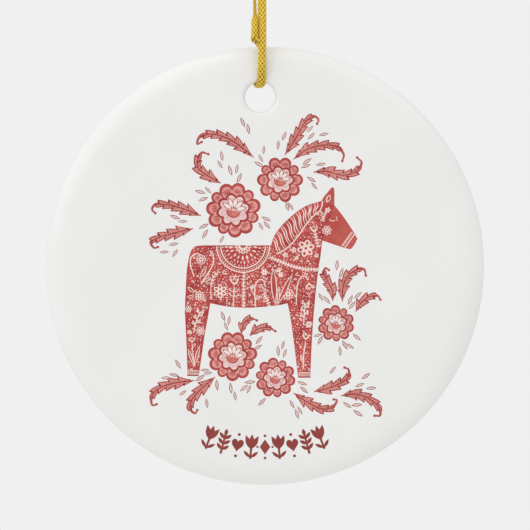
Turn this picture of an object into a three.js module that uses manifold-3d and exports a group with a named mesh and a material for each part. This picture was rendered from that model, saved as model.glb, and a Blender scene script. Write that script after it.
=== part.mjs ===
// A flat round porcelain ornament that hangs from a loop of braided gold cord.
// Millimetres. +Z is up, the decorated face looks along -Y, +X is to its right.
// The origin is where a hook carries the cord: the inside of the loop's top bight.

import * as THREE from "three";
import { mergeVertices } from "three/addons/utils/BufferGeometryUtils.js";
import Module from "manifold-3d";

const wasm = await Module();
wasm.setup();

// Porcelain disc
const DISC_DIAMETER = 73;
const DISC_THICKNESS = 4;
const RIM_FALL = 4.5; // width of the rounded shoulder, from the flat face to the edge
const DISC_CENTRE = new THREE.Vector3(0.4, 0, -100);
const DISC_SEGMENTS = 96;
const SHOULDER_STEPS = 6;

// Hanging hole, glazed over its rounded lips
const HOLE_RADIUS = 2.55;
const HOLE_OFFSET = new THREE.Vector3(-0.8, 0, 28.05); // from the disc's centre
const LIP_WIDTH = 1.05; // radial reach of the rounded lip on the face
const LIP_DEPTH = 1.6; // how deep the lip's curve runs into the hole
const HOLE_SEGMENTS = 40;
const LIP_STEPS = 4;

// Braided cord
const CORD_DIAMETER = 1.3;
const CORD_SIDES = 8;
const SQUEEZED_WIDTH = 1.5; // the soft braid flattens where it bends through the hole
const SQUEEZED_THICKNESS = 0.95;

// Knot and its two tails
const KNOT_CENTRE = new THREE.Vector3(0, -3.05, -46);
const KNOT_HEIGHT = 7;
const KNOT_DIAMETER = 5;
const KNOT_SHOULDER = 0.62; // share of the knot's radius left at its ends
const KNOT_SEGMENTS = 16;

// Routes of the cord's centreline, each a stretch with a gap of 0.3 mm to the next
const TOP_BIGHT_ROUTE = [
  [0, -2.65, -4],
  [0, -2.65, -2],
  [0, -2.3, -0.68],
  [0, -1.33, 0.3],
  [0, 0, 0.65],
  [0, 1.33, 0.3],
  [0, 2.3, -0.68],
  [0, 2.65, -2],
  [0, 2.65, -4],
];
const NECK_FRONT_ROUTE = [
  [0, -2.65, -4.3],
  [0, -2.66, -7],
  [0, -2.7, -10.85],
];
const NECK_REAR_ROUTE = [
  [0, 2.65, -4.3],
  [0, 2.66, -7],
  [0, 2.7, -10.85],
];
const UPPER_FRONT_ROUTE = [
  [0, -2.7, -11.15],
  [0, -2.76, -17],
  [0, -2.85, -27.85],
];
const UPPER_REAR_ROUTE = [
  [0, 2.7, -11.15],
  [0, 2.76, -17],
  [0, 2.85, -27.85],
];
const LOWER_FRONT_ROUTE = [
  [0, -2.85, -28.15],
  [0, -2.9, -34],
  [0, -3, -42.15],
];
const KNOT_TO_HOLE_ROUTE = [
  [0, -3.02, -49.85],
  [0, -2.96, -54],
  [0, -2.95, -60],
  [0, -2.95, -65.35],
];
const HOLE_TURN_ROUTE = [
  [0, -2.95, -65.65],
  [0, -2.93, -67.1],
  [0, -2.55, -68.75],
  [0, -1.45, -69.78],
  [0, 0, -70.05],
  [0, 1.45, -69.78],
  [0, 2.55, -68.75],
  [0, 2.93, -67.1],
  [0, 2.95, -65.65],
];
const LOWER_REAR_ROUTE = [
  [0, 2.95, -65.35],
  [0, 2.95, -60],
  [0, 2.92, -46],
  [0, 2.85, -28.15],
];
const LONG_TAIL_ROUTE = [
  [-1.3, -3.2, -49.85],
  [-1.32, -3.1, -53],
  [-1.3, -2.97, -57],
  [-1.26, -2.9, -60],
  [-1.25, -2.9, -62.9],
];
const SHORT_TAIL_ROUTE = [
  [1.7, -3.35, -41.75],
  [3, -3.6, -41.4],
  [4.4, -3.85, -42],
  [5.6, -4, -43.3],
  [6.3, -4.1, -45.2],
];

const porcelain = new THREE.MeshStandardMaterial({ color: 0xececea, roughness: 0.12, metalness: 0 });
const goldBraid = new THREE.MeshStandardMaterial({ color: 0xcaaf51, roughness: 0.45, metalness: 0.6 });

const ornament = new THREE.Group();

function addPart(name, geometry, material) {
  const mesh = new THREE.Mesh(geometry, material);
  mesh.name = name;
  ornament.add(mesh);
  return mesh;
}

// A quarter ellipse as lathe points, from its end on the face to its end on the wall
function quarterEllipse(centreR, centreY, reachR, reachY, steps) {
  const points = [];
  for (let i = 0; i <= steps; i++) {
    const angle = (i / steps) * (Math.PI / 2);
    points.push(new THREE.Vector2(centreR + reachR * Math.sin(angle), centreY + reachY * Math.cos(angle)));
  }
  return points;
}

function toSolid(geometry) {
  const bare = geometry.clone();
  bare.deleteAttribute("normal");
  bare.deleteAttribute("uv");
  const merged = mergeVertices(bare, 1e-4);
  const vertProperties = new Float32Array(merged.attributes.position.array);
  const triVerts = new Uint32Array(merged.index.array);
  return new wasm.Manifold(new wasm.Mesh({ numProp: 3, vertProperties, triVerts }));
}

function toGeometry(solid) {
  const mesh = solid.getMesh();
  const geometry = new THREE.BufferGeometry();
  geometry.setAttribute("position", new THREE.BufferAttribute(mesh.vertProperties, mesh.numProp));
  geometry.setIndex(new THREE.BufferAttribute(mesh.triVerts, 1));
  geometry.computeVertexNormals();
  return geometry;
}

// The tablet: flat faces that fall away over an elliptical shoulder to a thin round edge
function discBlank() {
  const half = DISC_THICKNESS / 2;
  const flatRadius = DISC_DIAMETER / 2 - RIM_FALL;
  const upper = quarterEllipse(flatRadius, 0, RIM_FALL, half, SHOULDER_STEPS);
  const lower = quarterEllipse(flatRadius, 0, RIM_FALL, -half, SHOULDER_STEPS);
  upper.pop();
  const profile = [new THREE.Vector2(0, -half), ...lower, ...upper.reverse(), new THREE.Vector2(0, half)];
  return new THREE.LatheGeometry(profile, DISC_SEGMENTS);
}

// What the hole takes away: a straight bore that flares to both faces over its rounded lips
function holeCutter() {
  const half = DISC_THICKNESS / 2;
  const past = 0.5; // runs past both faces
  const mouth = HOLE_RADIUS + LIP_WIDTH;
  const flare = [];
  for (let i = 0; i <= LIP_STEPS; i++) {
    const angle = (i / LIP_STEPS) * (Math.PI / 2);
    flare.push([mouth - LIP_WIDTH * Math.sin(angle), half - LIP_DEPTH * (1 - Math.cos(angle))]);
  }
  const front = flare.map(([r, y]) => new THREE.Vector2(r, -y));
  const back = flare.map(([r, y]) => new THREE.Vector2(r, y)).reverse();
  const profile = [
    new THREE.Vector2(0, -half - past),
    new THREE.Vector2(mouth, -half - past),
    ...front,
    ...back,
    new THREE.Vector2(mouth, half + past),
    new THREE.Vector2(0, half + past),
  ];
  const cutter = new THREE.LatheGeometry(profile, HOLE_SEGMENTS);
  cutter.translate(HOLE_OFFSET.x, HOLE_OFFSET.y, HOLE_OFFSET.z);
  return cutter;
}

// A stretch of cord: an eight-sided oval section swept along its route
function cordStretch(route, steps, width = CORD_DIAMETER, thickness = CORD_DIAMETER) {
  const path = new THREE.CatmullRomCurve3(route.map((point) => new THREE.Vector3(...point)));
  const section = new THREE.Shape();
  for (let i = 0; i < CORD_SIDES; i++) {
    const angle = ((i + 0.5) / CORD_SIDES) * 2 * Math.PI;
    const x = (width / 2) * Math.cos(angle);
    const y = (thickness / 2) * Math.sin(angle);
    if (i === 0) section.moveTo(x, y);
    else section.lineTo(x, y);
  }
  section.closePath();
  return new THREE.ExtrudeGeometry(section, { steps, extrudePath: path, bevelEnabled: false });
}

// The drawn-up knot: a barrel with rounded ends, thicker at its waist
function knotBarrel() {
  const radius = KNOT_DIAMETER / 2;
  const half = KNOT_HEIGHT / 2;
  const rings = 8;
  const profile = [new THREE.Vector2(0, -half)];
  for (let i = 0; i <= rings; i++) {
    const across = (2 * i) / rings - 1;
    const fullness = KNOT_SHOULDER + (1 - KNOT_SHOULDER) * Math.sqrt(1 - across * across);
    profile.push(new THREE.Vector2(radius * fullness, half * across));
  }
  profile.push(new THREE.Vector2(0, half));
  return new THREE.LatheGeometry(profile, KNOT_SEGMENTS);
}

const disc = addPart("porcelain_disc", toGeometry(toSolid(discBlank()).subtract(toSolid(holeCutter()))), porcelain);
disc.position.copy(DISC_CENTRE);

addPart("cord_top_bight", cordStretch(TOP_BIGHT_ROUTE, 12), goldBraid);
addPart("cord_neck_front", cordStretch(NECK_FRONT_ROUTE, 3), goldBraid);
addPart("cord_neck_rear", cordStretch(NECK_REAR_ROUTE, 3), goldBraid);
addPart("cord_upper_front", cordStretch(UPPER_FRONT_ROUTE, 5), goldBraid);
addPart("cord_upper_rear", cordStretch(UPPER_REAR_ROUTE, 5), goldBraid);
addPart("cord_lower_front", cordStretch(LOWER_FRONT_ROUTE, 4), goldBraid);
addPart("cord_knot_to_hole", cordStretch(KNOT_TO_HOLE_ROUTE, 5), goldBraid);
addPart("cord_hole_turn", cordStretch(HOLE_TURN_ROUTE, 12, SQUEEZED_WIDTH, SQUEEZED_THICKNESS), goldBraid);
addPart("cord_lower_rear", cordStretch(LOWER_REAR_ROUTE, 10), goldBraid);
addPart("cord_tail_long", cordStretch(LONG_TAIL_ROUTE, 5), goldBraid);
addPart("cord_tail_short", cordStretch(SHORT_TAIL_ROUTE, 4), goldBraid);

const knot = addPart("cord_knot", knotBarrel(), goldBraid);
knot.position.copy(KNOT_CENTRE);
knot.rotation.x = Math.PI / 2;

export default ornament;
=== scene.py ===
import bpy
import numpy as np
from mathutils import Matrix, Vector


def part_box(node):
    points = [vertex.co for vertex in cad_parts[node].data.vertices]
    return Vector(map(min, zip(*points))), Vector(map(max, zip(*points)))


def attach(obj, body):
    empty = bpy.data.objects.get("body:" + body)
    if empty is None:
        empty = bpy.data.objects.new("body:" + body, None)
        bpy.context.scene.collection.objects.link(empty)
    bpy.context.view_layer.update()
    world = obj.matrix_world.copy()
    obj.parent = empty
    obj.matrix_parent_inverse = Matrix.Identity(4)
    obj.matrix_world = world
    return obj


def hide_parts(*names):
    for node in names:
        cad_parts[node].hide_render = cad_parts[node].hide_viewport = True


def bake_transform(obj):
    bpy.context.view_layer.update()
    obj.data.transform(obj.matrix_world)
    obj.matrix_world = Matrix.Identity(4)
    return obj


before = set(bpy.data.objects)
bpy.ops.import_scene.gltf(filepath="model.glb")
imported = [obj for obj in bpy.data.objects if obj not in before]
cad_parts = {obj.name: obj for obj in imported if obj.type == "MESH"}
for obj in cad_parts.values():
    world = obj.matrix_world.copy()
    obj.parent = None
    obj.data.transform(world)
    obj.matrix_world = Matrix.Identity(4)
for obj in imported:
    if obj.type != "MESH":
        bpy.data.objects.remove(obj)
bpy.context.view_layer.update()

# A flat round porcelain ornament on a loop of braided gold cord.
# Driving sizes are in millimetres, and meshes are made in metres. X is to the right of someone
# facing the print, Z is up, and the decorated face looks along -Y.
MM = 0.001
DISC_LOW, DISC_HIGH = (np.array(corner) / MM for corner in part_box("porcelain_disc"))
DISC_CENTRE = (DISC_LOW + DISC_HIGH) / 2
DISC_RADIUS = (DISC_HIGH[2] - DISC_LOW[2]) / 2
HALF_THICKNESS = (DISC_HIGH[1] - DISC_LOW[1]) / 2
SHOULDER = 4.5  # width of the rounded edge on the face
HOLE_CENTRE = DISC_CENTRE + np.array([-0.8, 0, 28.05])
HOLE_RADIUS = 2.49
LIP_WIDTH = 1.25  # the rounded lip's reach on the face
LIP_DEPTH = 1.3  # and into the hole
LIP_POWER = 1.7  # 1 is a quarter of an ellipse, and more keeps it level for longer


# ======== meshes

def full_turn(count):
    """Even angles round a full turn."""
    return np.arange(count) * 2 * np.pi / count


def grid_faces(rows, columns, close_rows=False, close_columns=False):
    """Quads between neighbours of a grid numbered row by row; a closed way joins its last to its first."""
    row = np.arange(rows if close_rows else rows - 1)
    column = np.arange(columns if close_columns else columns - 1)
    row, column = np.meshgrid(row, column, indexing="ij")
    next_row, next_column = (row + 1) % rows, (column + 1) % columns
    around = ((row, column), (next_row, column), (next_row, next_column), (row, next_column))
    return np.stack([r * columns + c for r, c in around], axis=-1).reshape(-1, 4)


def new_piece(name, points, face_groups, material, attributes=None, smooth=True):
    """A mesh from points in millimetres and arrays of faces, each array with one number of corners."""
    mesh = bpy.data.meshes.new(name)
    points = np.reshape(points, (-1, 3))
    mesh.vertices.add(len(points))
    mesh.vertices.foreach_set("co", (points * MM).astype(np.float32).ravel())
    corners = np.concatenate([faces.ravel() for faces in face_groups]).astype(np.int32)
    sizes = np.concatenate([np.full(len(faces), faces.shape[1]) for faces in face_groups])
    starts = np.concatenate([[0], np.cumsum(sizes)[:-1]]).astype(np.int32)
    mesh.loops.add(len(corners))
    mesh.loops.foreach_set("vertex_index", corners)
    mesh.polygons.add(len(sizes))
    mesh.polygons.foreach_set("loop_start", starts)
    mesh.update(calc_edges=True)
    mesh.polygons.foreach_set("use_smooth", np.full(len(sizes), smooth))
    for key, values in (attributes or {}).items():
        vector = values.ndim == 2
        attribute = mesh.attributes.new(key, "FLOAT_VECTOR" if vector else "FLOAT", "POINT")
        attribute.data.foreach_set("vector" if vector else "value", values.astype(np.float32).ravel())
    piece = bpy.data.objects.new(name, mesh)
    bpy.context.scene.collection.objects.link(piece)
    mesh.materials.append(material)
    return piece


def spline(points, step):
    """A Catmull-Rom curve through given points, resampled at an even step of arc length."""
    points = np.asarray(points, float)
    padded = np.vstack([2 * points[0] - points[1], points, 2 * points[-1] - points[-2]])
    before, start, end, after = (padded[i : len(padded) - 3 + i, None, :] for i in range(4))
    t = np.linspace(0, 1, 24, endpoint=False)[None, :, None]
    curve = 0.5 * (
        2 * start
        + (end - before) * t
        + (2 * before - 5 * start + 4 * end - after) * t**2
        + (3 * start - before - 3 * end + after) * t**3
    )
    curve = np.vstack([curve.reshape(-1, points.shape[1]), points[-1]])
    along = np.concatenate([[0], np.cumsum(np.linalg.norm(np.diff(curve, axis=0), axis=1))])
    even = np.linspace(0, along[-1], max(3, int(round(along[-1] / step)) + 1))
    return np.stack([np.interp(even, along, column) for column in curve.T], axis=1)


# ======== materials

COLOUR_A, COLOUR_B, COLOUR_OUT = 6, 7, 2  # a Mix node's colour sockets


def linear(hex_colour):
    """An sRGB hex colour as linear RGBA."""
    parts = [int(hex_colour[i : i + 2], 16) / 255 for i in (1, 3, 5)]
    return [c / 12.92 if c <= 0.04045 else ((c + 0.055) / 1.055) ** 2.4 for c in parts] + [1.0]


def add_node(tree, kind, inputs=None, **settings):
    """Adds one node with its settings; an input is a value or the socket that feeds it."""
    node = tree.nodes.new("ShaderNode" + kind)
    for key, value in settings.items():
        setattr(node, key, value)
    for socket, value in (inputs or {}).items():
        if isinstance(value, bpy.types.NodeSocket):
            tree.links.new(value, node.inputs[socket])
        else:
            node.inputs[socket].default_value = value
    return node


def new_material(name, surface, *colours):
    """A node material whose surface(tree, *colours) gives its finished shader node."""
    material = bpy.data.materials.new(name)
    material.use_nodes = True
    tree = material.node_tree
    tree.nodes.clear()
    add_node(tree, "OutputMaterial", {"Surface": surface(tree, *colours).outputs[0]})
    return material


def per_mm(size):
    """A texture scale on Object coordinates whose features are this many millimetres apart."""
    return 1 / (size * MM)


GLAZE_IOR = 1.52
GLAZE_ROUGHNESS = 0.1
PIGMENT_GRAIN = 0.28  # drawn a little coarser than it is, so that it shows
POOL_SHARE, GRAIN_SHARE = 0.75, 0.35  # what an ink's pools and its grain each give its colour


def glazed(tree, coordinates, colour):
    """Clear gloss over a colour. Its surface swells slowly, 8 mm across and 0.03 mm high, with a fine
    orange peel over that, 1 mm across and 0.0015 mm high."""
    swell = add_node(tree, "TexNoise", {"Vector": coordinates, "Scale": per_mm(8), "Detail": 1.0})
    peel = add_node(tree, "TexNoise", {"Vector": coordinates, "Scale": per_mm(1), "Detail": 2.0})
    slow = add_node(tree, "Bump", {"Height": swell.outputs["Fac"], "Distance": 0.03 * MM})
    over = {"Height": peel.outputs["Fac"], "Normal": slow.outputs["Normal"], "Distance": 0.0015 * MM}
    finish = {
        "Base Color": colour,
        "Roughness": GLAZE_ROUGHNESS,
        "IOR": GLAZE_IOR,
        "Normal": add_node(tree, "Bump", over).outputs["Normal"],
    }
    return add_node(tree, "BsdfPrincipled", finish)


def glazed_porcelain(tree):
    """Clear gloss glaze on white porcelain: a soft white body under a crisp, slightly wavy shine."""
    coordinates = add_node(tree, "TexCoord").outputs["Object"]
    cloud = add_node(tree, "TexNoise", {"Vector": coordinates, "Scale": per_mm(15), "Detail": 3.0})
    shades = {"Factor": cloud.outputs["Fac"], COLOUR_A: linear("#f4f4f3"), COLOUR_B: linear("#eeeeec")}
    body = add_node(tree, "Mix", shades, data_type="RGBA")
    return glazed(tree, coordinates, body.outputs[COLOUR_OUT])


def fired_ink(tree, deep, washed, blotch=2.6):
    """Transfer ink fired into the glaze: it pools and thins like watercolour in blotches a few
    millimetres across, with a fine pigment grain, and shines exactly as the glaze does."""
    coordinates = add_node(tree, "TexCoord").outputs["Object"]
    pools = {"Vector": coordinates, "Scale": per_mm(blotch), "Detail": 4.0, "Roughness": 0.65}
    pool = add_node(tree, "TexNoise", pools)
    specks = {"Vector": coordinates, "Scale": per_mm(PIGMENT_GRAIN), "Detail": 2.0}
    speck = add_node(tree, "TexNoise", specks)
    wash = add_node(tree, "Math", {0: pool.outputs["Fac"], 1: POOL_SHARE}, operation="MULTIPLY")
    both = {0: speck.outputs["Fac"], 1: GRAIN_SHARE, 2: wash.outputs[0]}
    grainy = add_node(tree, "Math", both, operation="MULTIPLY_ADD")
    share = add_node(tree, "MapRange", {"Value": grainy.outputs[0], "From Min": 0.36, "From Max": 0.74})
    inks = {"Factor": share.outputs[0], COLOUR_A: linear(deep), COLOUR_B: linear(washed)}
    colour = add_node(tree, "Mix", inks, data_type="RGBA")
    return glazed(tree, coordinates, colour.outputs[COLOUR_OUT])


def gold_braid(tree):
    """Metallised yarn, a thin metal film wrapped round a thread: satin gold with fine wraps along each yarn
    that catch the light one by one, and painted glints, paler streaks painted into the colour along each
    yarn.
    Painted shade darkens the yarns where they dive under each other, and the core between them most."""
    lay = add_node(tree, "Attribute", attribute_name="lay").outputs["Vector"]
    # depth is painted shade: none on a yarn on top, more where it dives under another, full on the core
    deep = add_node(tree, "Attribute", attribute_name="depth").outputs["Fac"]
    streaks = {"Vector": lay, "Scale": 3.0, "Detail": 3.0, "Roughness": 0.7}
    streak = add_node(tree, "TexNoise", streaks)
    # painted glints: the streaks draw the gold toward a pale yellow, one by one along each yarn
    painted_glints = {"Factor": streak.outputs["Fac"], COLOUR_A: linear("#eab60c"), COLOUR_B: linear("#fff07c")}
    gold = add_node(tree, "Mix", painted_glints, data_type="RGBA")
    # painted shade: the colour drawn toward dark brown by depth
    painted_shade = {"Factor": deep, COLOUR_A: gold.outputs[COLOUR_OUT], COLOUR_B: linear("#80560a")}
    colour = add_node(tree, "Mix", painted_shade, data_type="RGBA")
    wraps = add_node(tree, "Bump", {"Height": streak.outputs["Fac"], "Distance": 0.04 * MM})
    rough = {"Value": streak.outputs["Fac"], "To Min": 0.28, "To Max": 0.5}
    roughness = add_node(tree, "MapRange", rough)
    finish = {
        "Base Color": colour.outputs[COLOUR_OUT],
        "Metallic": 0.8,
        "Roughness": roughness.outputs[0],
        "Normal": wraps.outputs["Normal"],
    }
    return add_node(tree, "BsdfPrincipled", finish)


# ======== camera and light

VIEW_WIDTH = 87.85  # what the camera takes in across the disc's face
AIM_LIFT = 0.12  # above the disc's centre
LENS, SENSOR = 150.0, 36.0
CAMERA_DISTANCE = VIEW_WIDTH * LENS / SENSOR  # from the printed face
FLOOR_LEVEL, FLOOR_HALF_SIDE = -330.0, 1400.0
ROOM_LIGHT = 0.762
# name, place from the disc's centre in metres, size in metres, power in watts
LIGHTS = [
    ("key_softbox", (-1.0, -0.75, 1.0), 2.0, 7.0),
    ("top_softbox", (0.5, -0.7, 1.5), 2.0, 3.6),
]


def studio():
    """A long lens square to the face, a big soft light high on the left with a weaker one above on the
    right, a pale room and a pale floor."""
    scene = bpy.context.scene
    scene.view_settings.view_transform = "Standard"
    camera = bpy.data.objects.new("camera", bpy.data.cameras.new("camera"))
    camera.data.lens = LENS
    camera.data.sensor_width = SENSOR
    camera.data.clip_start = 0.01
    camera.data.clip_end = 20
    aim = DISC_CENTRE + np.array([0, -HALF_THICKNESS, AIM_LIFT])
    camera.location = (aim - np.array([0, CAMERA_DISTANCE, 0])) * MM
    camera.rotation_euler = (np.pi / 2, 0, 0)
    scene.collection.objects.link(camera)
    scene.camera = camera

    room = bpy.data.worlds.new("pale_room")
    scene.world = room
    room.use_nodes = True
    tree = room.node_tree
    tree.nodes.clear()
    seen = add_node(tree, "LightPath").outputs["Is Camera Ray"]
    shown = add_node(tree, "Background", {"Color": linear("#f0f0f0"), "Strength": 1.0})
    fill = add_node(tree, "Background", {"Color": linear("#ffffff"), "Strength": ROOM_LIGHT})
    both = add_node(tree, "MixShader", {0: seen, 1: fill.outputs[0], 2: shown.outputs[0]})
    add_node(tree, "OutputWorld", {"Surface": both.outputs[0]})

    centre = DISC_CENTRE * MM
    for name, place, size, power in LIGHTS:
        lamp = bpy.data.lights.new(name, "AREA")
        lamp.shape = "DISK"
        lamp.size = size
        lamp.energy = power
        light = bpy.data.objects.new(name, lamp)
        light.location = centre + np.array(place)
        way = light.location - Vector(centre)
        light.rotation_euler = way.to_track_quat("Z", "Y").to_euler()
        scene.collection.objects.link(light)

    paper = {"Base Color": linear("#f2f2f0"), "Roughness": 0.9}
    floor_material = new_material("matt_paper_floor", lambda tree: add_node(tree, "BsdfPrincipled", paper))
    square = np.array([[-1, -1, 0], [1, -1, 0], [1, 1, 0], [-1, 1, 0]])
    corners = square * FLOOR_HALF_SIDE + [0, 0, FLOOR_LEVEL]
    floor = new_piece("floor", corners, [np.array([[0, 1, 2, 3]])], floor_material)


studio()


# ======== braided cord

BRAID = new_material("metallised_yarn_braid", gold_braid)
YARNS = 6  # run each way round
BRAID_PITCH = 5.0  # millimetres along the cord for one turn of a yarn
BRAID_STEP = 0.15
YARN_SIDES, CORE_SIDES = 6, 8
YARN_CIRCLE, YARN_SWING = 0.49, 0.09  # a yarn's distance from the cord's centre, and how far it swings
YARN_HALF_WIDTH, YARN_HALF_HEIGHT, CORE_RADIUS = 0.188, 0.105, 0.36


def mirrored(vector, way):
    """A vector reflected in the plane square to way."""
    return vector - 2 * (vector @ way) / (way @ way) * way


def carried_frames(path):
    """Two unit cross directions at each point of a path. They start across X and are carried along it by
    reflection from point to point, so that they never twist about it."""
    tangents = np.gradient(path, axis=0)
    tangents /= np.linalg.norm(tangents, axis=1)[:, None]
    across = np.zeros_like(path)
    start = np.array([1.0, 0, 0]) - tangents[0, 0] * tangents[0]
    across[0] = start / np.linalg.norm(start)
    for i in range(1, len(path)):
        chord = path[i] - path[i - 1]
        turn = tangents[i] - mirrored(tangents[i - 1], chord)
        across[i] = mirrored(across[i - 1], chord)
        if turn @ turn > 1e-18:
            across[i] = mirrored(across[i], turn)
    return across, np.cross(tangents, across)


def tube(spine, wide, high, sides):
    """Rings of wide cos(a) + high sin(a) about each point of a spine."""
    angle = full_turn(sides)[:, None]
    return spine[..., None, :] + np.cos(angle) * wide[..., None, :] + np.sin(angle) * high[..., None, :]


def tube_faces(rows, sides):
    """The walls and the two end caps of a tube."""
    ring = np.arange(sides)
    caps = np.stack([ring, (rows - 1) * sides + ring[::-1]])
    return grid_faces(rows, sides, close_columns=True)[:, ::-1], caps


def braid(name, route, phase=0.0, squeeze=None, fray=0.0, seed=1):
    """A hollow braid as yarns that wind both ways round the route and pass over and under each other.

    Yarn k stands at angle +-2 pi s / pitch + 2 pi k / YARNS at arc length s, and its distance from the
    centre swings by cos(2 pi YARNS s / pitch), in opposite phase for the two ways, so at each crossing one
    lies over the other. A thin core fills the middle. squeeze gives factors of width and thickness along
    the cord, which is round without it. fray opens the last millimetres into loose ends."""
    path = spline(route, BRAID_STEP)
    across, up = carried_frames(path)
    length = np.linalg.norm(np.diff(path, axis=0), axis=1).sum()
    arc = np.linspace(0, length, len(path))
    wide, thick = squeeze(arc, path[:, 2]) if squeeze else np.ones((2, len(arc)))
    draw = np.random.default_rng(seed)

    yarns = 2 * YARNS
    way = np.repeat([1.0, -1.0], YARNS)[:, None]
    slot = np.tile(full_turn(YARNS), 2)[:, None]
    ends = length - fray * draw.uniform(0, 0.7, yarns)[:, None]
    s = np.linspace(0, 1, len(path))[None, :] * ends
    turn = 2 * np.pi * (s + phase) / BRAID_PITCH
    angle = way * turn + slot
    over = way * np.cos(YARNS * turn)
    loose = np.clip((s - (length - 2.2 * fray)) / (2.2 * fray), 0, 1) ** 2 if fray else 0 * s
    middle = YARN_CIRCLE + YARN_SWING * over + loose * draw.uniform(-0.1, 0.42, yarns)[:, None]
    angle = angle + loose * draw.uniform(-0.7, 0.7, yarns)[:, None]

    def at(values):
        return np.stack([np.interp(s, arc, column) for column in values.T], axis=-1)

    centre, side, lift = at(path), at(across), at(up)
    wide_at, thick_at = np.interp(s, arc, wide)[..., None], np.interp(s, arc, thick)[..., None]
    out = np.cos(angle)[..., None] * side * wide_at + np.sin(angle)[..., None] * lift * thick_at
    spine = centre + middle[..., None] * out
    heading = np.gradient(spine, axis=1)
    heading /= np.linalg.norm(heading, axis=2)[..., None]
    flat = np.cross(heading, out)
    flat /= np.linalg.norm(flat, axis=2)[..., None]
    normal = np.cross(flat, heading)

    half_width = YARN_HALF_WIDTH * (1 - 0.25 * loose)[..., None] * wide_at.clip(None, 1)
    yarn = tube(spine, half_width * flat, YARN_HALF_HEIGHT * normal, YARN_SIDES)
    walls, caps = tube_faces(len(path), YARN_SIDES)
    each = np.arange(yarns)[:, None, None] * yarn[0, ..., 0].size
    lay = np.empty(yarn.shape)
    lay[..., 0] = 0.9 * s[..., None] + 0.37 * each  # so that no two yarns carry the same streaks
    lay[..., 1] = 3 * np.cos(full_turn(YARN_SIDES))
    lay[..., 2] = 3 * np.sin(full_turn(YARN_SIDES))
    # painted shade: a yarn gets more depth where it dives under the others, and none where it lies over them
    depth = np.broadcast_to((0.25 - 0.4 * over)[..., None], yarn.shape[:3]).clip(0, 1)

    core = tube(path, CORE_RADIUS * wide[:, None] * across, CORE_RADIUS * thick[:, None] * up, CORE_SIDES)
    if fray:
        core = core[arc < length - 0.8 * fray]
    core_walls, core_caps = tube_faces(len(core), CORE_SIDES)
    first = yarn[..., 0].size
    points = np.concatenate([yarn.reshape(-1, 3), core.reshape(-1, 3)])
    faces = [
        (walls + each).reshape(-1, 4),
        (caps + each).reshape(-1, YARN_SIDES),
        core_walls + first,
        core_caps + first,
    ]
    # the core gets full depth, so the gaps between the yarns are painted in shade
    attributes = {
        "lay": np.concatenate([lay.reshape(-1, 3), core.reshape(-1, 3)]),
        "depth": np.concatenate([depth.ravel(), np.ones(core[..., 0].size)]),
    }
    return new_piece(name, points, faces, BRAID, attributes), path, length


# the loop's front half, and then the same mirrored from front to back
TOP_LOOP_FRONT = np.array([
    [0, -2.76, -17], [0, -2.7, -11], [0, -2.66, -7], [0, -2.65, -4], [0, -2.65, -2], [0, -2.3, -0.68],
    [0, -1.33, 0.3], [0, 0, 0.65],
])
TOP_LOOP_ROUTE = np.concatenate([TOP_LOOP_FRONT, TOP_LOOP_FRONT[-2::-1] * [1, -1, 1]])

KNOT_CENTRE = np.array([0, -3.05, -46])
WRAP_TURNS = 1.4
WRAP_POINTS = 18


def half_knot(flip):
    """One cord's way through the knot: in behind the other cord, a rising helix, 1.95 mm by 1.75 mm, round
    the strands, and out through its middle. flip turns it half way round, for the other cord."""
    share = np.linspace(0, 1, WRAP_POINTS)
    angle = np.radians(-80) + share * WRAP_TURNS * 2 * np.pi
    wrap = np.stack([1.95 * np.cos(angle), 0.1 + 1.75 * np.sin(angle), -2.85 + 2.25 * share], axis=1)
    way_in = [[-0.68, -0.25, 1], [-0.7, -0.3, -1], [-0.75, -0.65, -2.1], [-0.5, -1.3, -2.8]]
    way_out = [[0.2, 1.65, -0.5], [-0.35, 1.4, -0.85], [-0.55, 1.1, -1.6]]
    half = np.concatenate([way_in, wrap, way_out]) * ([-1, 1, -1] if flip else [1, 1, 1])
    return (KNOT_CENTRE + half).tolist()


FRONT_ROUTE = [
    [0, -2.76, -17], [0, -2.8, -22], [0, -2.85, -28], [0, -2.9, -34], [0, -2.97, -39], [-0.15, -3.05, -41.6],
    [-0.6, -3.25, -43.4], *half_knot(False), [-0.65, -2.1, -48.5], [-0.9, -2.3, -49.6], [-1.2, -2.6, -51.2],
    [-1.34, -2.8, -53.5], [-1.3, -2.85, -57], [-1.24, -2.9, -60], [-1.22, -2.9, -63.4],
]
REAR_ROUTE = [
    [0, 2.76, -17], [0, 2.8, -22], [0, 2.85, -28], [0, 2.88, -37], [0, 2.92, -46], [-0.2, 2.95, -56],
    [-0.6, 2.95, -65.5], [-0.72, 2.93, -67.1], [-0.8, 2.55, -68.75], [-0.75, 1.45, -69.72],
    [-0.5, 0, -69.93], [-0.25, -1.45, -69.72], [-0.15, -2.55, -68.75], [-0.12, -2.93, -67.1],
    [-0.08, -2.95, -65.5], [0, -2.95, -60], [0, -2.96, -54], [0.1, -3.05, -50.5], [0.6, -3.25, -48.6],
    *half_knot(True), [0.7, -2.15, -43.4], [1.0, -2.45, -42.4], [1.8, -2.95, -41.7], [3, -3.5, -41.4],
    [4.4, -3.8, -42], [5.6, -4, -43.3], [6.3, -4.1, -45.2],
]


def ease(share):
    """A smooth step from 0 to 1."""
    share = np.clip(share, 0, 1)
    return share**2 * (3 - 2 * share)


BEND_LEVEL, SPREAD_LEVEL = -66.5, -58  # below these the cord bends into the hole, and starts to spread


def flattened_in_the_hole(arc, height):
    """The soft braid spreads toward the hole, and where it bends through it thins as well."""
    bend = ease((BEND_LEVEL - height) / 2.5)
    return 1 + 0.1 * ease((SPREAD_LEVEL - height) / 9) + 0.12 * bend, 1 - 0.36 * bend


def loosened_tail(arc, height):
    """The long tail is drawn thin above its cut end, then opens to its full width."""
    left = arc[-1] - arc
    neck = ease((left - 3.7) / 1.5) * ease((10 - left) / 2.5)
    return 1 - 0.62 * neck, 1 - 0.55 * neck


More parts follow.
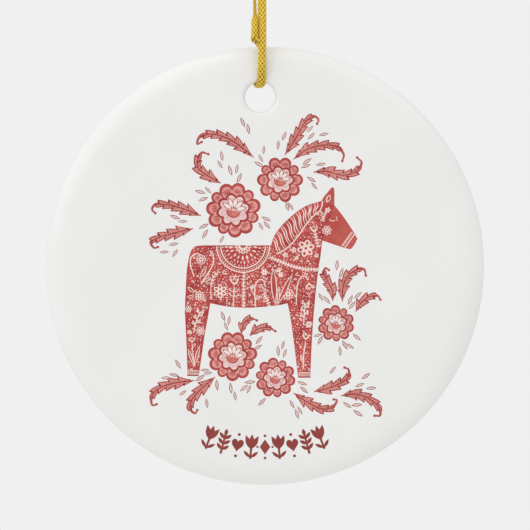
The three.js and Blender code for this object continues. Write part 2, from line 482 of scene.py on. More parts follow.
def hang_cord():
    """One cord in three stretches that meet on a level between the joints: the top loop, the front strand
    down to the knot and long tail, and the rear strand through the hole back up to the knot."""
    top, top_path, top_length = braid("cord_top_loop", TOP_LOOP_ROUTE)
    front, *front_run = braid("cord_front_strand", FRONT_ROUTE, 0.0, loosened_tail, 1.3, 4)
    rear, *rear_run = braid("cord_rear_strand", REAR_ROUTE, top_length, flattened_in_the_hole, 0.8, 9)
    loop = "cord_top_bight", "cord_neck_front", "cord_neck_rear"
    down = "cord_upper_front", "cord_lower_front", "cord_tail_long"
    back = "cord_upper_rear", "cord_lower_rear", "cord_hole_turn", "cord_knot_to_hole"
    cords = [
        (top, top_path, top_length, "object", loop),
        (front, *front_run, "bare", down),
        (rear, *rear_run, "bare", (*back, "cord_knot", "cord_tail_short")),
    ]
    for cord, path, length, far_end, stretches in cords:
        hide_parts(*stretches)
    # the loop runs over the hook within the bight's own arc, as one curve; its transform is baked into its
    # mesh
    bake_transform(top)
    for cord in (front, rear):
        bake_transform(cord)


hang_cord()


# ======== disc

GLAZE = new_material("clear_glaze_on_white_porcelain", glazed_porcelain)
FACE_COLUMNS = 360
SWELL_HEIGHT = 0.012  # too low to see but for the way that it bends the shine


def face_swell(x, z):
    """How far the glazed face stands out at a point measured from the disc's centre, in millimetres:
    three slow crossing waves, which die away toward the shoulder and the hole."""
    waves = np.sin(x / 6.1 + 0.4) * np.cos(z / 7.3) + 0.6 * np.sin((x - z) / 9.7)
    waves = waves + 0.5 * np.cos((x + 2 * z) / 13)
    hole = HOLE_CENTRE - DISC_CENTRE
    to_shoulder = np.clip((DISC_RADIUS - SHOULDER - np.hypot(x, z)) / 4, 0, 1)
    to_hole = np.clip((np.hypot(x - hole[0], z - hole[2]) - HOLE_RADIUS - LIP_WIDTH) / 3, 0, 1)
    return SWELL_HEIGHT * waves * to_shoulder * to_hole


def porcelain_disc():
    """A closed ring-shaped grid. Each row is a circle: down the hole's wall, round its lip, over the face
    in circles that shift from the hole's centre to the disc's, round the shoulder and back the same way."""
    angle = full_turn(FACE_COLUMNS)
    quarter = np.linspace(0, np.pi / 2, 12)
    mouth, flat = HOLE_RADIUS + LIP_WIDTH, DISC_RADIUS - SHOULDER
    hole, disc = HOLE_CENTRE[[0, 2]], DISC_CENTRE[[0, 2]]

    dips = LIP_DEPTH * (1 - np.sin(quarter)) ** LIP_POWER
    lip = [(hole, mouth - LIP_WIDTH * np.cos(a), HALF_THICKNESS - dip) for a, dip in zip(quarter, dips)]
    across = np.linspace(0, 1, 42)[1:-1]
    face = [(hole + (disc - hole) * t, mouth + (flat - mouth) * t, HALF_THICKNESS) for t in across]
    edge = np.linspace(0, np.pi / 2, 22)
    shoulder = [(disc, flat + SHOULDER * np.sin(a), HALF_THICKNESS * np.cos(a)) for a in edge]
    half = lip + face + shoulder
    rows = half[:-1] + [(c, r, -y) for c, r, y in half[::-1]]
    centres, radii, depths = (np.array(column) for column in zip(*rows))
    x = centres[:, :1] + radii[:, None] * np.cos(angle)
    z = centres[:, 1:] + radii[:, None] * np.sin(angle)
    y = -np.broadcast_to(depths[:, None], x.shape)
    y = y + np.sign(y) * face_swell(x - disc[0], z - disc[1]) * (np.abs(y) > 0.9 * HALF_THICKNESS)
    faces = grid_faces(len(rows), FACE_COLUMNS, close_rows=True, close_columns=True)
    piece = new_piece("glazed_disc", np.stack([x, y, z], axis=-1), [faces], GLAZE)
    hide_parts("porcelain_disc")
    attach(piece, "disc")


porcelain_disc()


# ======== the print

# The artwork is drawn flat as complex numbers, across + 1j * up, in millimetres from the disc's centre.
# A length along a heading is a product with exp(1j * angle).
ARTWORK_SCALE = 0.9945
ARTWORK_LIFT = 0.1
INK_STEP = 0.006  # each ink lies this much over the one before it
STROKE_STEPS = 20  # strokes of one ink that cross lie in this many fine steps within it
INK_COLOURS = {
    # where it pools, where it thins and, where that isn't 2.6 mm, how far apart its blotches are
    "red_glaze": ("#95101a", "#d75850"),
    "thinned_red": ("#b43c35", "#d0675a", 3.5),
    "dark_red": ("#952725", "#b8443f"),
    "rose_red": ("#a8272b", "#cc5651"),
    "salmon": ("#da8a81", "#eab3a8"),
    "stippled_rose": ("#b0605d", "#cf8d87"),
    "bud_rose": ("#c2504b", "#dd8a82", 0.7),
    "pale_pink": ("#ecc6c2", "#f6deda"),
    "white_reserve": ("#f5e2de", "#f8efec"),
    "blush_reserve": ("#f4d3c8", "#f9e8e0"),
    "leaf_red": ("#981a1e", "#c0443f"),
    "leaf_pink": ("#d07f77", "#e4a99f"),
    "seed_rim": ("#7a2024", "#a34c4b"),
    "seed_blush": ("#ecc9c4", "#f3ddd8"),
    "brown_red": ("#85291f", "#9c3c33"),
}
INKS = {}
for ink, colours in INK_COLOURS.items():
    INKS[ink] = new_material(ink + "_transfer", fired_ink, *colours)


def curve(points, step=0.2):
    """A smooth flat curve through given points."""
    flat = spline(np.stack([np.real(points), np.imag(points)], axis=1), step)
    return flat[:, 0] + 1j * flat[:, 1]


def evenly(points, count):
    """The same smooth curve at this many even stations."""
    line = curve(points, 0.05)
    return line[np.linspace(0, len(line) - 1, count).astype(int)]


def outline(*stretches):
    """A closed outline of smooth stretches that meet at sharp corners."""
    return np.concatenate([curve(points, 0.3)[:-1] for points in stretches])


def headings(line):
    """Unit headings at each point of a line."""
    along = np.gradient(line)
    return along / abs(along)


def turned(degrees):
    """The unit heading at an angle."""
    return np.exp(1j * np.radians(degrees))


class Film:
    """Flat shapes of one ink at one level over the glaze, gathered and then made into one thin layer."""

    def __init__(self):
        self.points, self.triangles, self.strokes, self.count = [], [], [], 0

    def lay(self, points, triangles):
        """Adds shapes, one to a row, each one stroke after the one before it."""
        first = self.strokes[-1][-1] + 1 if self.strokes else 0
        self.strokes.append(np.repeat(first + np.arange(len(points)), points.shape[1]))
        self.points.append(points.ravel())
        self.triangles.append(triangles.reshape(-1, 3) + self.count)
        self.count += points.size

    def fill(self, outlines, rings=1):
        """Closed outlines, one to a row, each filled by shrinking it in even rings to its mean point."""
        outlines = np.atleast_2d(outlines)
        many, corners = outlines.shape
        middles = outlines.mean(axis=1, keepdims=True)
        shares = np.linspace(1, 0, rings, endpoint=False)[:, None]
        rows = middles[:, None] + shares * (outlines - middles)[:, None]
        points = np.concatenate([rows.reshape(many, -1), middles], axis=1)
        last = (rings - 1) * corners + np.arange(corners)
        fan = np.stack([np.full(corners, rings * corners), last, np.roll(last, -1)], axis=1)
        quads = grid_faces(rings, corners, close_columns=True)[:, [0, 1, 2, 0, 2, 3]].reshape(-1, 3)
        each = np.arange(many)[:, None, None] * points.shape[1]
        self.lay(points, each + np.concatenate([fan, quads]))

    def stamp(self, shape, places, turns=0.0, sizes=1.0):
        """Copies of one outline, each turned, sized and put in its place."""
        places, turns, sizes = np.broadcast_arrays(np.atleast_1d(places), turns, sizes)
        self.fill(places[:, None] + (sizes * turned(turns))[:, None] * shape)

    def band(self, left, right):
        """The strip between two lines with the same number of points."""
        quads = grid_faces(2, len(left))
        self.lay(np.concatenate([left, right])[None], quads[:, [0, 1, 2, 0, 2, 3]])

    def stroke(self, points, widths, step=0.2):
        """A brush line through listed points, its width given at even stations along it."""
        line = curve(points, step)
        stations = np.linspace(0, 1, len(widths))
        across = 0.5j * headings(line) * np.interp(np.linspace(0, 1, len(line)), stations, widths)
        self.band(line + across, line - across)

    def make(self, name, level, ink):
        """The mesh: every triangle faces out, and the layer's thickness reaches down to the glaze."""
        flat = np.concatenate(self.points) * ARTWORK_SCALE
        triangles = np.concatenate(self.triangles)
        a, b, c = flat[triangles].T
        area = np.imag(np.conj(b - a) * (c - a))
        triangles = np.where(area[:, None] < 0, triangles[:, ::-1], triangles)[abs(area) > 1e-6]
        x, z = flat.real, flat.imag + ARTWORK_LIFT
        stroke = np.concatenate(self.strokes) % STROKE_STEPS / STROKE_STEPS
        out = HALF_THICKNESS + face_swell(x, z) + (level + stroke) * INK_STEP
        points = np.stack([x, -out, z], axis=1) + DISC_CENTRE
        piece = new_piece(name, points, [triangles], INKS[ink], smooth=False)
        layer = piece.modifiers.new("ink_layer", "SOLIDIFY")
        layer.thickness = (level + 1) * INK_STEP * MM
        layer.offset = -1
        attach(piece, "disc")


def oval(length, width, corners=14):
    """An ellipse about its centre."""
    angle = full_turn(corners)
    return length / 2 * np.cos(angle) + 0.5j * width * np.sin(angle)


def blade(length, width, corners=14):
    """A pointed leaf from 0 along +X: half width is width / 2 times sin(pi t)."""
    t = np.linspace(0, 1, corners // 2 + 1)
    upper = length * t + 0.5j * width * np.sin(np.pi * t)
    return np.concatenate([upper, np.conj(upper[-2:0:-1])])


DOT = oval(2, 2, 8)

# ---- flowers

FLOWERS = [
    # centre, radius, petals, turn in degrees
    (-5.25+9.17j, 4.6, 11, 12), (2.5+14.2j, 3.85, 10, 0), (11.8-9.75j, 3.1, 10, 20),
    (-5.4-15.2j, 4.15, 11, 8), (1.7-18.8j, 3.4, 10, 26),
]
# shares of the flower's radius
BIG_PETAL, SMALL_PETAL = 0.26, 0.2
CUP, RING, HEART, STIPPLE = 0.74, 0.64, 0.545, 0.46
PETAL_EDGE = 0.2  # the dark edge's width


def scallops(radius, lobes, depth):
    """A scalloped circle: radius times (1 - depth (1 - |cos(lobes a / 2)|))."""
    angle = full_turn(84)
    return radius * (1 - depth * (1 - abs(np.cos(lobes * angle / 2)))) * np.exp(1j * angle)


def flowers():
    """Round folk roses: dark-edged petals in two sizes, a scalloped ring and a pale heart with a bud."""
    edge, petal, blush, shade, ring, heart, heart_edge, bud, crown, fine = (Film() for _ in range(10))
    draw = np.random.default_rng(3)
    for centre, radius, petals, turn in FLOWERS:
        spin = turned(turn)
        big = np.arange(petals) % 3 != 1
        size = radius * np.where(big, BIG_PETAL, SMALL_PETAL)
        angle = turn + np.arange(petals) * 360 / petals
        way = turned(angle)
        places = centre + (radius - size * np.where(big, 1.0, 1.2)) * way
        disc = oval(2, 2, 20)
        edge.stamp(disc, places, 0, size)
        edge.stamp(disc, centre, 0, CUP * radius)
        petal.stamp(disc, places, 0, size - PETAL_EDGE)
        petal.stamp(disc, centre, 0, CUP * radius - PETAL_EDGE)
        inner = places - 0.3 * size * way
        blush.stamp(oval(2.3, 2.0, 18), inner, angle, 0.74 * size)
        rays = inner[:, None] - 0.5 * (size * way)[:, None]
        fan = (angle[:, None] + np.array([-36, -18, 0, 18, 36])).ravel()
        feet = np.repeat(rays.ravel(), 5) + 0.25 * turned(fan)
        shade.stamp(blade(0.8, 0.13, 6), feet, fan, np.repeat(size, 5) * 1.2)
        lobes = petals - 3
        ring.fill(centre + spin * scallops(RING * radius, lobes, 0.2))
        heart.fill(centre + spin * scallops(HEART * radius, lobes, 0.25))
        spots = np.arange(150)
        spread = STIPPLE * radius * np.sqrt(spots / spots.size) * turned(137.5 * spots)
        fine.stamp(DOT, centre + spread + 0.06 * draw.normal(size=spots.size), 0, 0.07)
        lean = -12.0
        cup = np.linspace(180, 360, 14) + lean
        bowl = 0.215 * turned(cup) - 0.03j
        bud.fill(centre + radius * bowl)
        heart_edge.fill(centre + radius * (1.2 * bowl + 0.01j))
        tips = lean + np.array([158, 22, 124, 56, 90])
        foot = centre + radius * 0.09 * turned(tips)
        heart_edge.stamp(blade(0.45 * radius, 0.18 * radius), foot - 0.04 * radius * turned(tips), tips)
        crown.stamp(blade(0.36 * radius, 0.135 * radius), foot, tips)
    edge.make("rose_edges", 1, "dark_red")
    petal.make("rose_petals", 2, "rose_red")
    blush.make("rose_blushes", 3, "salmon")
    shade.make("rose_petal_lines", 4, "rose_red")
    ring.make("rose_rings", 5, "dark_red")
    heart.make("rose_hearts", 6, "pale_pink")
    fine.make("rose_stipple", 7, "stippled_rose")
    heart_edge.make("rose_bud_edges", 8, "rose_red")
    crown.make("rose_bud_crowns", 9, "white_reserve")
    bud.make("rose_buds", 9, "bud_rose")


# ---- curled leaves

# each spine runs from the pointed root to the rolled tip
LEAF_SPINES = [
    [-1.8+17.9j, -5.4+20.7j, -8.5+21.8j, -10.8+21.4j, -11.3+20.2j, -10.6+20.5j],
    [-7.3+13.6j, -10.6+15.6j, -11.3+17j, -10.6+18.7j, -9.5+18.5j],
    [-10.6+8.2j, -13.7+9.4j, -16.5+10.1j, -18.4+10j, -18.8+9.2j, -18.3+8.7j],
    [-11.9+6.1j, -14.9+5.4j, -17.7+4.6j, -19+3.8j, -18.5+2.9j, -17.9+3j],
    [3.3+18.3j, 5.1+21.1j, 6.6+23.7j, 8+24.8j, 8.9+24.3j, 8.7+23.6j],
    [4.7+17.6j, 7+19.3j, 9.9+20j, 12+19.7j, 13.1+18.5j, 12.9+17.4j],
    [8+15.5j, 10.4+15.6j, 13+15j, 15.1+15.6j, 16.1+17j, 15.4+17.9j],
    [11.3-6j, 11.2-4.2j, 10.2-2.3j, 9.8-1.2j, 10.1-0.5j, 10.6-0.8j],
    [12.9-6.1j, 13-3.7j, 13.8-1.8j, 15.3-0.8j, 16.5-0.7j, 16.8-1.7j],
    [15.1-7.8j, 16-6.3j, 17.3-5.3j, 18.7-5.1j, 19.2-5.7j],
    [-4-11.5j, -3.5-9.7j, -2.4-8.9j, -1.4-9.2j],
    [-2.6-11.8j, -1.1-10.6j, 0.6-10.4j, 1.7-11j],
    [-11.7-19.2j, -15.3-19.7j, -17.8-20.6j, -18.9-22j, -18.8-23.3j, -18.1-23.2j],
    [-8.3-18.6j, -10.6-20.6j, -12.2-22.5j, -12.5-23.9j, -11.7-24.7j, -11.3-24.2j],
    [8.1-21.1j, 10.3-20.6j, 12.5-19.7j, 13.9-18.6j, 13.9-17.4j, 13.3-17.1j],
    [4.7-21.3j, 7-22.8j, 9.2-23.9j, 11.1-23.8j, 12-22.6j, 11.5-22.4j],
    [12.6-21.8j, 15-21.5j, 17.2-22.2j, 18.9-23.6j, 19.2-25j, 18.3-25.1j],
]
LEAF_WIDTH = 1.82
BARB_LENGTH = 1.6  # along the leaf, from one barb to the next


def leaf_side(line, length, share, side, phase):
    """One edge of a curled leaf: half width rises from the root, falls slowly to a thin tip, and on it
    saw teeth swell toward the tip and drop back; each tooth's point also leans forward along the leaf."""
    body = np.clip(share / 0.24, 0, 1) ** 0.9 * np.clip(1.1 - share, 0, 1) ** 0.54
    tooth = (share * length / BARB_LENGTH + phase) % 1
    calm = np.clip((0.84 - share) / 0.1, 0, 1)
    reach = LEAF_WIDTH / 2 * body * (0.5 + 0.92 * tooth * calm) * min(1, 0.55 + length / 16)
    return reach, 0.6 * tooth**2 * calm * headings(line), side * 1j * headings(line)


def curled_leaves():
    """Acanthus leaves: a dark toothed shape, pink cells between its barbs, a midrib and slanting hatches."""
    edge, cells, veins = Film(), Film(), Film()
    for spine in LEAF_SPINES:
        line = curve(spine, 0.08)
        length = abs(np.diff(line)).sum()
        share = np.linspace(0, 1, len(line))
        sides = []
        for side, phase in ((1, 0.1), (-1, 0.55)):
            reach, forward, out = leaf_side(line, length, share, side, phase)
            sides.append(line + forward + out * reach)
            inside = np.clip(reach - 0.19, 0.06, None)
            cells.band(line + forward * 0.6 + out * inside, line + out * 0.1)
            hatch = np.arange(3, int(len(line) * 0.9), 5)
            root = line[hatch]
            tip = root + (0.55 * headings(line) + 0.85 * out)[hatch] * reach[hatch]
            across = 0.038j * (tip - root) / abs(tip - root)
            veins.fill(np.stack([root + across, root - across, tip - across, tip + across], axis=1))
        edge.band(*sides)
        edge.stamp(DOT, line[-1] + 0.04 * headings(line)[-1], 0, 0.23)
    edge.make("leaf_shapes", 1, "leaf_red")
    cells.make("leaf_cells", 2, "leaf_pink")
    veins.make("leaf_hatches", 3, "leaf_red")


# ---- loose seeds between the flowers

# each one's centre, and then its heading in degrees
SEEDS = np.array([
    -3.7+23.8j, -65, -2.8+22.7j, -80, 3.2+21.5j, 65, 2.2+20j, 85, 7.5+22.7j, 45, 7.7+21.5j, 45,
    9.8+21.8j, 10, -0.2+19.2j, 85, -0.7+17.8j, -60, -1+16.8j, -30, -7.2+18.2j, -80, -7.5+16.8j, -60,
    -4.7+16j, 80, -5.8+15.8j, -70, -4.3+14.5j, 65, 7+17.3j, 35, 6.8+16.5j, 20, 9.3+16.8j, 10,
    7.7+14.3j, -30, 8.2+13.2j, -50, 3.7+9.8j, -75, 4.3+9.8j, -55, -10.8+12.2j, -15, -9.5+12.5j, -45,
    -10.3+11j, 20, -15+8j, -20, -13.7+7.3j, 0, -10.2+6.5j, 25, -10+5.2j, 60, -7.2+4.3j, 60,
    0.2+7.7j, -25, -0.7+6.5j, -60, 0.3+6.7j, -50, -15.2+3.5j, 10, -16.8+2.2j, 5, -15+2j, 55,
    -7-8.5j, -70, -6-9.2j, 80, -6.5-10.2j, -70, -1-12.5j, 50, -1.2-13.7j, 30, 2.2-14.3j, -85,
    3-13.3j, 75, 3.3-14.7j, 70, -14.5-16.5j, -60, -16.5-18.8j, 0, -15.2-18.3j, -10, -10-17.5j, 0,
    -9.5-18j, 10, -10.8-18.8j, 35, -13.7-21.3j, 35, -8-20j, -85, -9.7-23j, -80, -5.7-20.5j, -85,
    -5-21.8j, -80, -2.5-19.5j, 5, -3.5-20.5j, 40, -2.7-20.7j, 65, -0.5-22.8j, 45, 6.2-19.7j, -20,
    6.5-20.8j, -40, 4.5-23.2j, -60, 5.8-24.2j, -60, 5.3-24.8j, -70, 8.8-11.7j, 15, 9.2-12.5j, 60,
    15.3-12j, -40, 12.5-14.3j, -85, 13.3-13.3j, -60, 14.2-13.5j, -35, 11.3-17.5j, 50, 16.8-18.5j, 35,
    15.8-20j, 20, 17.7-20.5j, 5, 13.7-23.3j, -35, 15.3-23.3j, 5, 15.5-24.7j, -35, 12+0j, 85,
    12.7-1.3j, 70, 9.3-5.3j, -60, 10.3-5.8j, -50, 14.2-5.8j, 65, 15.5-5j, 40, 14.5-6.7j, 50,
]).reshape(-1, 2)


def seeds():
    """Pointed seeds in sprays, each a thin outline round a blush of colour."""
    rim, middle = Film(), Film()
    places, turns = SEEDS[:, 0], SEEDS[:, 1].real
    draw = np.random.default_rng(5)
    sizes = draw.uniform(0.85, 1.1, len(SEEDS))
    rim.stamp(blade(1.75, 0.52) - 0.87, places, turns, sizes)
    middle.stamp(blade(1.4, 0.27) - 0.7, places, turns, sizes)
    rim.make("seed_rims", 1, "seed_rim")
    middle.make("seed_blushes", 2, "seed_blush")


# ---- the horse

BACK = [-13.38-8.3j, -13.1-1.7j, -12.8+0.6j, -12.4+2.2j, -11.9+2.9j, -11+3.25j, -6.7+3.3j, 1+3.3j]
CHEST = [9.54+4.06j, 9.27+1.67j, 8.96-0.2j, 8.75-1.9j, 8.44-4.6j, 8.1-8.3j]
BELLY = [3.7-6.35j, 2.1-6.7j, -2.5-7.1j, -6.25-6.9j, -9.1-6.35j]
CREST = [1+3.3j, 1.5+4.8j, 2.7+6.5j, 4.8+8.5j, 6.9+9.9j, 9.4+10.7j]
MANE_HEM = [2.1+1.9j, 3.75+2.9j, 5.5+4.8j, 7.4+7.5j, 9.2+9.2j, 9.6+10.7j]
EAR = [9.4+10.7j, 9.9+11.5j, 11.15+13j], [11.15+13j, 11.55+12.6j, 11.55+10j]
FACE = [11.55+10j, 12.9+8.3j, 14.6+5.8j, 15.4+4.4j], [15.4+4.4j, 14.9+3.4j, 14.3+2.65j]
JAW = [14.3+2.65j, 13.5+2.8j, 11.9+3.3j, 10+3.95j, 9.54+4.06j]
FRONT_LEG = [8.44-4.6j, 8.1-8.3j, 7.8-12.9j, 7.55-18.5j], [3.3-4.6j, 4.17-8.3j, 4.8-12.9j, 5.5-18.5j]
REAR_LEG = [-13.3-5.5j, -13.3-8.6j, -13.1-12.9j, -12.9-18.2j], [-9-5.5j, -9.5-8.6j, -10.1-11.9j, -11-18.2j]


def reserve_motifs(pale, red):
    """What is left pale in the horse's red: a spring meadow of plain folk motifs, mostly thin outlines.
    The red film on top opens the middles of petals and leaves again."""
    draw = np.random.default_rng(11)

    def daisy(at, radius, petals, turn=0.0):
        angles = turn + np.arange(petals) * 360 / petals
        spread = at + 0.62 * radius * turned(angles)
        pale.stamp(oval(0.78, 0.62, 12), spread, angles, radius)
        if radius > 0.6:
            red.stamp(oval(0.44, 0.3, 8), spread, angles, radius)
        pale.stamp(DOT, at, 0, 0.3 * radius)
        red.stamp(DOT, at, 0, 0.17 * radius)

    def leaf(root, tip, width):
        run = tip - root
        heading = np.angle(run, True)
        pale.stamp(blade(abs(run), width, 20), root, heading)
        red.stamp(blade(0.86 * abs(run), width - 0.32, 20), root + 0.07 * run, heading)
        pale.stroke([root, 0.35 * root + 0.65 * tip, 0.12 * root + 0.88 * tip], [0.14, 0.12, 0.04])

    def tulip(at, size, turn):
        up = size * turned(turn)
        pale.stamp(blade(1.5, 0.62), at - 0.35 * up, turn + np.array([-34, 34, 0]), size)
        red.stamp(blade(0.9, 0.26, 10), at - 0.05 * up, turn + np.array([-36, 0, 36]), size)
        pale.stamp(DOT, at - 0.2 * up, 0, 0.3 * size)

    def stem(points, width=0.19):
        pale.stroke(points, [width, width])

    def twig(points, gap, reach, lean, width=0.17, start=0.0):
        line = curve(points, gap)
        way = np.angle(headings(line), True)
        keep = np.arange(len(line)) >= start * len(line)
        for side in (1, -1):
            pale.stamp(blade(reach, 0.2, 8), line[keep], way[keep] + side * lean)
        stem(points, width)

    def beads(points, gap, radius):
        pale.stamp(DOT, curve(points, gap), 0, radius)

    def coral(points, reach):
        stem(points)
        line = curve(points, 0.1)
        way = np.angle(headings(line), True)
        for share, side in ((0.35, 1), (0.5, -1), (0.65, 1), (0.8, -1), (0.97, 1), (0.99, -1)):
            at = int(share * (len(line) - 1))
            for lean, size in ((38, 1), (62, 0.75)):
                far = line[at] + size * reach * turned(way[at] + side * lean)
                stem([line[at], 0.5 * (line[at] + far) + 0.08 * turned(way[at]), far], 0.13)
                pale.stamp(DOT, far, 0, 0.16)

    # saddle cloth: two hems with a beaded band between them, and rings of dabs round a half rose
    seat = -3.65+3.23j
    half = np.linspace(181, 359, 41)
    for radius in (4.52, 3.82):
        pale.band(seat + radius * turned(half), seat + (radius - 0.2) * turned(half))
    pale.stamp(DOT, seat + 4.12 * turned(np.linspace(184, 356, 30)), 0, 0.11)
    for radius, count, size in ((3.35, 20, 0.45), (2.8, 14, 0.72), (2.05, 9, 0.95)):
        around = np.linspace(186, 354, count) + draw.uniform(-2, 2, count)
        sizes = size * draw.uniform(0.8, 1.1, count)
        pale.stamp(blade(0.85, 0.34, 8) - 0.42, seat + radius * turned(around), around, sizes)
    around = np.linspace(189, 351, 7)
    pale.stamp(blade(1.05, 0.58), seat + 0.42 * turned(around), around)
    red.stamp(blade(0.62, 0.24, 8), seat + 0.66 * turned(around), around)
    pale.stroke([seat - 0.5, seat - 0.35-0.36j, seat + 0.35-0.36j, seat + 0.5], [0.12, 0.16, 0.12])

    # girth, breast strap, noseband and hoof bands
    twig([-3.54-7j, -3.56-4j, -3.54-1.5j], 0.56, 0.52, 42)
    twig([8.85-0.75j, 6.5-0.6j, 4.3-0.1j, 0.95+1.25j], 0.48, 0.5, 48, width=0.22)
    for aside in (-0.26, 0.3):
        stem(np.array([13.05+3.05j, 13.9+4.25j, 14.7+5.35j]) + aside * turned(-35), 0.17)
    beads([13.2+3.3j, 14.6+5.3j], 0.42, 0.09)
    for left, right in ((-12.85-17.6j, -11.05-17.6j), (5.6-17.9j, 7.5-17.9j)):
        stem([left, right], 0.12)
        stem([left - 0.42j, right - 0.42j], 0.12)
        beads([left + (0.1-0.2j), right - (0.1+0.2j)], 0.3, 0.09)

    # mane: wavy locks from the crest to its hem
    crest, hem = curve(CREST, 0.05), curve(MANE_HEM, 0.05)
    stem(MANE_HEM, 0.2)
    for lock in np.concatenate([np.linspace(0.1, 0.91, 9), np.linspace(0.137, 0.947, 9)]):
        foot_share = 0.9 * lock - 0.07 + draw.uniform(-0.01, 0.01)
        top, foot = crest[int(lock * (len(crest) - 1))], hem[int(foot_share * (len(hem) - 1))]
        aside = 1j * (foot - top) / abs(foot - top)
        run = top + (foot - top) * np.array([0.03, 0.3, 0.65, 0.97])
        sway = 0.14 * np.array([-0.3, 0.8, -0.7, 0.5]) + draw.uniform(-0.07, 0.07, 4)
        pale.stroke(run + aside * sway, [0.08, 0.2, 0.16, 0.06])

    # head: ear petal, temple sprig, cheek daisy and a closed eye
    pale.stamp(blade(1.5, 0.75), 10.25+10.4j, 66)
    red.stamp(blade(1.0, 0.42), 10.4+10.65j, 66)
    daisy(10.5+9.2j, 0.48, 5)
    twig([9.65+7.3j, 9.85+8.2j, 10.25+9j], 0.36, 0.34, 55, width=0.12)
    daisy(10.3+5.8j, 0.8, 7, 10)
    stem([10.75+7.6j, 11.2+7.35j, 11.7+7.45j], 0.14)
    stem([11.8+8.1j, 12.05+7.8j, 11.95+7.4j], 0.1)

    # neck and shoulder
    daisy(6.8+2.8j, 1.45, 6, 15)
    tulip(8.2+5.9j, 0.72, 100)
    twig([8.85+3j, 8.6+4.2j, 8.3+5.5j], 0.5, 0.5, 50, width=0.14)
    for at, radius in ((3.4+1.7j, 0.5), (4.8+2.5j, 0.5), (5.3+1.2j, 0.36), (8.6+1.6j, 0.4)):
        daisy(at, radius, 5, 30)

    # rump and flank
    stem([-11.8-1.9j, -12.4-0.1j, -12.3+1.3j, -11.3+1.95j, -10.7+1.6j])
    daisy(-10.65+0.95j, 0.85, 8)
    stem([-10.7-3.1j, -9.4-1.2j, -8.6+0.4j, -8.7+1.8j, -9.2+2.4j])
    tulip(-8.9+1.9j, 0.42, -80)
    leaf(-10.9-2.2j, -9.7-0.2j, 0.6)
    leaf(-10.4-2.9j, -9-2j, 0.55)
    leaf(-12.9-3.6j, -11.8-4.6j, 0.6)
    leaf(-13-5.3j, -11.8-5.3j, 0.6)
    daisy(-10.9-5.1j, 0.8, 8)
    daisy(-12.75-7.3j, 0.62, 6)
    twig([-9-5.7j, -9-3.6j, -8.6-2j, -7.9-1.2j], 0.62, 0.62, 40, width=0.14, start=0.35)
    tulip(-6.9-1.3j, 0.5, 30)
    daisy(-7.5-4.35j, 1.15, 6, 30)
    beads([-6.4-6.7j, -6.3-4.6j, -6.5-3.2j, -7.1-2.8j], 0.33, 0.11)
    tulip(-5.1-2.9j, 0.85, 90)
    beads([-5.8-1.9j, -4.4-1.9j], 0.28, 0.11)
    stem([-5.25-7j, -5.2-5.4j, -5.1-3.8j])
    for joint in (-5.1j, -4.3j):
        stem([joint - (5.95-0.35j), joint - (5.55+0.05j), joint - 5.15], 0.15)
        stem([joint - (4.3-0.35j), joint - (4.7+0.05j), joint - 5.1], 0.15)

    # under the girth: hanging bells, tall leaves and a daisy
    stem([-1.55-6.9j, -1.7-4.8j, -1.6-3.2j, -0.9-2.4j, -0.2-2.7j, 0.05-3.6j])
    stem([-1.6-5.2j, -2.1-4.4j, -2.3-3.9j], 0.13)
    for at, turn in ((-0.7-3.4j, -95), (0.05-4.1j, -80), (-1.3-5.4j, -70)):
        tulip(at, 0.42, turn)
    twig([0.7-6.9j, 0.3-5.6j, -0.1-4.9j], 0.4, 0.42, 45, width=0.13)
    for at, radius in ((-0.1-1.2j, 0.56), (2.3-0.8j, 0.42), (2.6-1.6j, 0.46), (-2.2-3.7j, 0.34)):
        daisy(at, radius, 6)
    leaf(1.7-6.7j, 1.3-0.3j, 1.0)
    leaf(2.1-6.6j, 4.6-1.4j, 0.85)
    leaf(2.1-6.6j, 2.4-3.6j, 0.5)
    daisy(3.85-4.8j, 0.95, 8)
    stem([5.2-6.6j, 5.3-4.2j, 5.6-2.7j, 6.4-1.8j, 7.2-2.3j])
    tulip(7.35-3.3j, 0.75, -85)
    beads([6.9-4.6j, 7.4-4.8j, 7.9-4.4j], 0.3, 0.1)

    # legs
    coral([6.45-10j, 6.55-8j, 6.75-6.5j], 0.85)
    daisy(7.3-9.9j, 0.6, 6)
    tulip(6.8-12.1j, 0.72, 84)
    stem([6.35-17.3j, 6.45-15j, 6.75-12.9j])
    leaf(6.4-16.5j, 5.9-14.9j, 0.42)
    coral([-11.9-11.3j, -11.5-9.6j, -10.9-7.9j], 0.8)
    daisy(-10.75-11j, 0.72, 7)
    daisy(-12.6-11.15j, 0.42, 5)
    tulip(-12.15-12.6j, 0.62, 95)
    stem([-11.8-16.8j, -12-15j, -12.15-13.2j], 0.14)
    leaf(-11.8-16.8j, -12.85-13.9j, 0.55)
    leaf(-11.8-16.8j, -10.85-13.3j, 0.6)

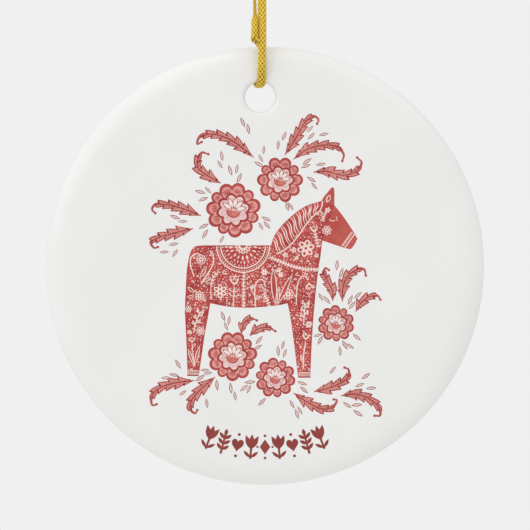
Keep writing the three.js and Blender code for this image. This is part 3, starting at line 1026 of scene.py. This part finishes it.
    # ground: small dots over all the patterned red
    across, up = np.meshgrid(np.arange(-13.2, 9.4, 0.5), np.arange(-17.4, 9.0, 0.43))
    spots = (across + 0.25 * (np.arange(len(across)) % 2)[:, None] + 1j * up).ravel()
    spots = spots + 0.11 * (draw.normal(size=spots.size) + 1j * draw.normal(size=spots.size))
    x, z = spots.real, spots.imag
    barrel = (z < 3.0) & (z > -6.9 + 0.02 * (x + 2.5) ** 2) & (x > -12.7 - 0.03 * z) & (x < 8.65 + 0.1 * z)
    barrel &= (z < 1.7) | (x > -12.0)
    front = (z < -5) & (x > 3.78 - 0.13 * (z + 5)) & (x < 8.12 + 0.06 * (z + 5))
    rear = (z < -5) & (x > -13.0 - 0.02 * (z + 5)) & (x < -9.38 + 0.14 * (z + 5))
    neck = (z >= 3.0) & (x > 3.6 + 0.78 * (z - 2.8)) & (x < 9.6)
    free_of_saddle = abs(spots - seat) > 4.6
    spots = spots[(barrel & free_of_saddle) | front | rear | neck]
    pale.stamp(oval(2, 2, 6), spots, 0, draw.uniform(0.055, 0.115, spots.size))
    eggs = spots[draw.permutation(spots.size)[:110]]
    pale.stamp(DOT, eggs, 0, 0.2)
    red.stamp(DOT, eggs, 0, 0.09)


def folk_horse():
    """The standing horse in profile: plain patches for its barrel, neck, head, ear and two legs, the
    motifs left pale in them, and a line under each hoof."""
    body, head, pale, red, hooves = (Film() for _ in range(5))
    poll, brow, throat, withers = 9.4+10.7j, 11.55+10j, 9.54+4.06j, 1+3.3j
    barrel = outline(BACK, [withers, throat], CHEST, [8.1-8.3j, 3.7-6.35j], BELLY, [-9.1-6.35j, -13.38-8.3j])
    body.fill(barrel, 12)
    body.fill(outline(CREST, [poll, brow], [brow, throat], [throat, withers]), 6)
    head.fill(outline([poll, brow], *FACE, JAW, [throat, poll]), 4)
    head.fill(outline(*EAR, [brow, poll]))
    for outer, inner in (FRONT_LEG, REAR_LEG):
        body.band(evenly(outer, 30), evenly(inner, 30))
    reserve_motifs(pale, red)
    hooves.stroke([-12.95-18.35j, -11.05-18.4j], [0.22, 0.22])
    hooves.stroke([5.5-18.65j, 7.55-18.65j], [0.22, 0.22])
    body.make("horse_body", 1, "red_glaze")
    head.make("horse_head", 1, "thinned_red")
    pale.make("horse_reserves", 2, "blush_reserve")
    red.make("horse_second_red", 3, "red_glaze")
    hooves.make("horse_hoof_lines", 2, "dark_red")


# ---- the row of small signs under the horse

ROW_RADIUS, ROW_CENTRE = 28.2, -4.2j
TALL = 4.2  # a sign's height


def garland():
    """Nine plain folk signs standing on a hanging arc, where such an ornament carries its wording."""
    film = Film()

    def post(at, rise):
        film.stroke([at, at + 0.5 * rise, at + rise], [0.42, 0.336, 0.42], 0.3)

    def tulip(at, rise, turn):
        film.stamp(blade(0.6 * TALL, 0.21 * TALL), at + 0.38 * rise, turn + np.array([-25, 0, 25]))
        film.stamp(blade(0.4 * TALL, 0.13 * TALL), at + 0.04 * rise, turn + np.array([-48, 48]))
        post(at, 0.5 * rise)

    def sprig(at, rise, turn):
        post(at, 0.9 * rise)
        for lean in (-48, 48):
            film.stamp(blade(0.34 * TALL, 0.14 * TALL), at + np.array([0.16, 0.38, 0.6]) * rise, turn + lean)
        film.stamp(blade(0.3 * TALL, 0.15 * TALL), at + 0.72 * rise, turn)

    def heart(at, rise, turn):
        angle = full_turn(28)
        x = 16 * np.sin(angle) ** 3
        y = 13 * np.cos(angle) - 5 * np.cos(2 * angle) - 2 * np.cos(3 * angle) - np.cos(4 * angle)
        film.fill(at + rise * (0.5 + (y - 0.85j * x) / 56))
        film.stamp(DOT, at + np.array([0.04, 0.9]) * rise, 0, 0.26)

    def diamond(at, rise, turn):
        film.stamp(blade(0.6 * TALL, 0.42 * TALL, 4), at + 0.2 * rise, turn)
        film.stamp(DOT, at + np.array([0.06, 0.94]) * rise, 0, 0.24)
        film.stamp(DOT, at + rise * (0.5 + np.array([0.3j, -0.3j])), 0, 0.2)

    signs = tulip, sprig, heart, tulip, diamond, tulip, heart, sprig, tulip
    for sign, across in zip(signs, np.linspace(-9.9, 9.9, len(signs))):
        turn = 90 + np.degrees(np.arcsin(across / ROW_RADIUS))
        sign(ROW_CENTRE - ROW_RADIUS * turned(turn), TALL * turned(turn), turn)
    film.make("garland_signs", 1, "brown_red")


folk_horse()
flowers()
curled_leaves()
seeds()
garland()
